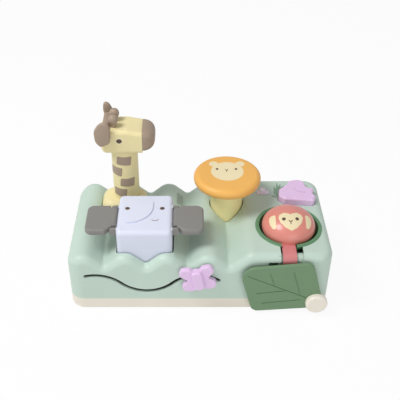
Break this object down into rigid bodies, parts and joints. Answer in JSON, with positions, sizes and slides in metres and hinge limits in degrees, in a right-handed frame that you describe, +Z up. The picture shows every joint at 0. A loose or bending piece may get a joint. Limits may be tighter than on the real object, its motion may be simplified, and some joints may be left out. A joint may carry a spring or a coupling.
{
  "type": "pop up animal toy",
  "caption": "Battery toy box with a hilly green lid: animals that pop up, spin, flip and slide, a swinging leaf cover and a bird push button.",
  "frame": {"origin": "middle of the base's underside, on the floor it rests on", "axes": "+X along the box to the viewer's right, -Y towards the front with the leaf and butterfly, +Z up"},
  "size_m": [0.3, 0.164, 0.2],
  "materials": {
    "shell_plastic": "satin moulded plastic, pale sage green",
    "base_plastic": "satin moulded plastic, cream",
    "door_plastic": "satin moulded plastic, cream",
    "screw_steel": "plain steel screws",
    "spring_steel": "bright spring wire",
    "contact_steel": "plated contact strip",
    "battery_can": "plain dark cell wrapper",
    "board_laminate": "green board laminate",
    "switch_rubber": "grey rubber dome",
    "switch_case": "black switch case",
    "speaker_metal": "dark speaker basket and magnet",
    "giraffe_yellow": "satin moulded plastic, pale yellow",
    "giraffe_brown": "satin moulded plastic, soft brown",
    "elephant_lilac": "satin moulded plastic, pale blue lilac",
    "ear_grey": "satin moulded plastic, warm grey",
    "lion_orange": "satin moulded plastic, orange",
    "lion_yellow": "satin moulded plastic, pale yellow",
    "face_cream": "satin moulded plastic, cream",
    "monkey_coral": "satin moulded plastic, coral red",
    "arm_pink": "satin moulded plastic, pink",
    "bowl_green": "satin moulded plastic, leaf green",
    "leaf_green": "satin moulded plastic, leaf green",
    "butterfly_lilac": "satin moulded plastic, lilac",
    "bird_lilac": "satin moulded plastic, lilac",
    "knob_cream": "satin moulded plastic, cream",
    "slider_lilac": "glossy moulded plastic, pale lilac"
  },
  "bodies": {
    "housing": {"shell": "shell_plastic", "base": "base_plastic", "housing_screws": "screw_steel", "battery_door": "door_plastic", "battery_door_screw": "screw_steel", "batteries": "battery_can", "battery_contacts": "contact_steel", "circuit_board": "board_laminate", "board_screws": "screw_steel", "button_switch": "switch_rubber", "power_switch": "switch_case", "speaker": "speaker_metal", "monkey_bowl": "bowl_green", "giraffe_spring": "spring_steel", "elephant_spring": "spring_steel", "lion_spring": "spring_steel", "bird_spring": "spring_steel"},
    "giraffe_plunger": {"giraffe_body": "giraffe_yellow", "giraffe_spots": "giraffe_brown", "giraffe_head": "giraffe_yellow", "giraffe_muzzle": "giraffe_brown", "giraffe_crown": "giraffe_brown"},
    "elephant_plunger": {"elephant_head": "elephant_lilac", "ear_pins": "screw_steel"},
    "left_ear": {"ear_left": "ear_grey"},
    "right_ear": {"ear_right": "ear_grey"},
    "lion_plunger": {"lion_body": "lion_yellow"},
    "lion_disc": {"lion_mane": "lion_orange", "lion_face": "face_cream", "lion_axle": "screw_steel"},
    "monkey_lid": {"monkey_dome": "monkey_coral", "monkey_arm": "arm_pink", "monkey_face": "face_cream", "monkey_ears": "face_cream"},
    "leaf_flap": {"leaf": "leaf_green", "leaf_knob": "knob_cream", "leaf_washer": "screw_steel"},
    "butterfly_runner": {"butterfly_stem": "screw_steel", "butterfly_washer": "screw_steel"},
    "butterfly_wings": {"butterfly": "butterfly_lilac"},
    "bird_key": {"bird_button": "bird_lilac"},
    "power_key": {"power_slider": "slider_lilac"}
  },
  "joints": [
    {"name": "giraffe_slide", "type": "slide", "parent": "housing", "child": "giraffe_plunger", "axis": [0, 0, 1], "range_m": [-0.028, 0], "stiffness_N_per_m": 60, "springref_m": 0.03, "deforming": ["giraffe_spring"]},
    {"name": "elephant_slide", "type": "slide", "parent": "housing", "child": "elephant_plunger", "axis": [0, 0, 1], "range_m": [-0.016, 0], "stiffness_N_per_m": 90, "springref_m": 0.02, "deforming": ["elephant_spring"]},
    {"name": "ear_left_hinge", "type": "hinge", "parent": "elephant_plunger", "child": "left_ear", "pos_m": [-0.0975, -0.0275, 0.0984], "axis": [0, 1, 0], "range_deg": [0, 75]},
    {"name": "ear_right_hinge", "type": "hinge", "parent": "elephant_plunger", "child": "right_ear", "pos_m": [-0.0263, -0.0275, 0.0984], "axis": [0, -1, 0], "range_deg": [0, 75]},
    {"name": "lion_slide", "type": "slide", "parent": "housing", "child": "lion_plunger", "axis": [0, 0, 1], "range_m": [-0.025, 0], "stiffness_N_per_m": 60, "springref_m": 0.03, "deforming": ["lion_spring"]},
    {"name": "lion_spin", "type": "hinge", "parent": "lion_plunger", "child": "lion_disc", "pos_m": [0.0338, 0.029, 0.11], "axis": [0, 0, 1], "continuous": true},
    {"name": "monkey_hinge", "type": "hinge", "parent": "housing", "child": "monkey_lid", "pos_m": [0.1008, -0.0656, 0.0686], "axis": [1, 0, 0], "range_deg": [0, 80]},
    {"name": "leaf_swing", "type": "hinge", "parent": "housing", "child": "leaf_flap", "pos_m": [0.134, -0.081, 0.018], "axis": [0, 1, 0], "range_deg": [0, 100]},
    {"name": "butterfly_track", "type": "hinge", "parent": "housing", "child": "butterfly_runner", "pos_m": [-0.0018, -0.0738, 0.00901], "axis": [0, 1, 0], "range_deg": [-42, 33]},
    {"name": "butterfly_spin", "type": "hinge", "parent": "butterfly_runner", "child": "butterfly_wings", "pos_m": [-0.0018, -0.079, 0.0513], "axis": [0, 1, 0], "continuous": true},
    {"name": "bird_press", "type": "slide", "parent": "housing", "child": "bird_key", "axis": [0, 0, 1], "range_m": [-0.004, 0], "stiffness_N_per_m": 150, "springref_m": 0.004, "deforming": ["bird_spring"]},
    {"name": "power_slide", "type": "slide", "parent": "housing", "child": "power_key", "axis": [1, 0, 0], "range_m": [0, 0.004]}
  ]
}
